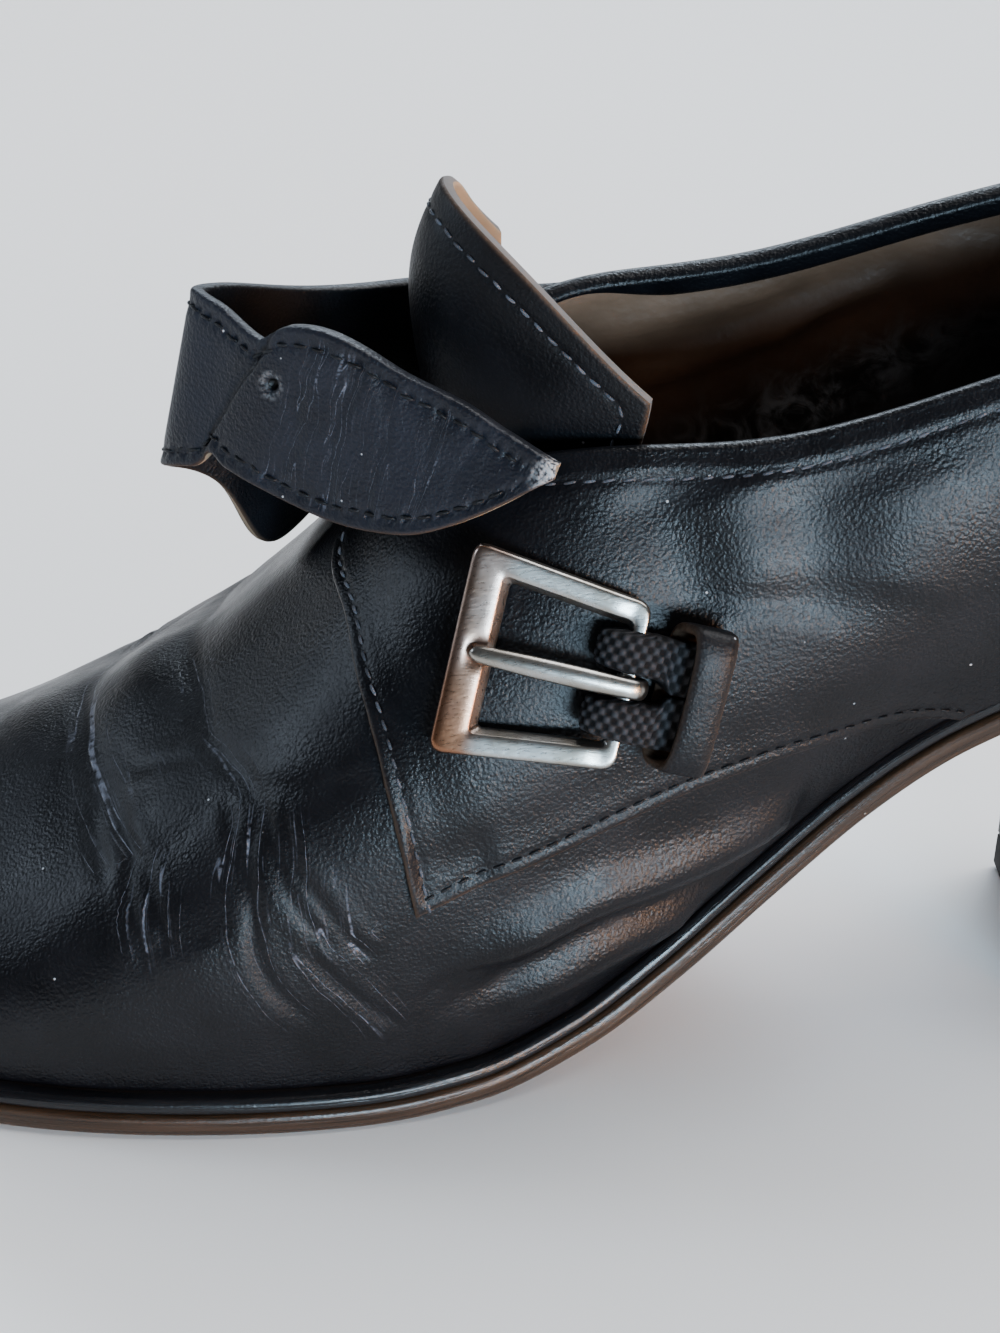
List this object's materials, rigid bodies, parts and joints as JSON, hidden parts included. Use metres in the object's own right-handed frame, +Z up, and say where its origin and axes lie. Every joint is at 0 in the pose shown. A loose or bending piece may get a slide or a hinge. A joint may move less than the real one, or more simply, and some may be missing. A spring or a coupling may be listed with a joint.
{
  "type": "monk strap heeled shoe",
  "caption": "Left women's black leather monk strap shoe with an unfastened side buckle, a standing tongue, a steep arch and a high block heel.",
  "frame": {"origin": "on the floor, under the middle of the shoe's box", "axes": "+X from the toe to the heel, +Y from the lateral side to the medial side, +Z up"},
  "size_m": [0.2513, 0.0853, 0.121],
  "materials": {
    "upper_leather": "smooth black calf, creased and slightly worn",
    "strap_leather": "smooth black calf, scuffed at the tip",
    "sole_leather": "dark brown polished edge",
    "welt_leather": "glossy black",
    "insole_leather": "dark, matt",
    "heel_cover": "glossy black",
    "heel_rubber": "matt black",
    "buckle_metal": "satin nickel look",
    "elastic_web": "black woven elastic"
  },
  "bodies": {
    "shoe": {"upper": "upper_leather", "quarter_lateral": "upper_leather", "quarter_medial": "upper_leather", "tongue": "upper_leather", "strap": "strap_leather", "strap_keeper": "strap_leather", "outsole": "sole_leather", "welt": "welt_leather", "insole": "insole_leather", "heel": "heel_cover", "heel_top_piece": "heel_rubber", "buckle_web_upper": "elastic_web", "buckle_web_lower": "elastic_web"},
    "frame": {"buckle_frame": "buckle_metal"},
    "prong": {"buckle_prong": "buckle_metal"}
  },
  "joints": [
    {"name": "frame_swing", "type": "hinge", "parent": "shoe", "child": "frame", "pos_m": [0.0094, -0.0365, 0.0621], "axis": [0.2189, 0.3651, 0.9049], "range_deg": [0, 48]},
    {"name": "prong_swing", "type": "hinge", "parent": "frame", "child": "prong", "pos_m": [0.0094, -0.0365, 0.0621], "axis": [0.2189, 0.3651, 0.9049], "range_deg": [0, 40]}
  ]
}
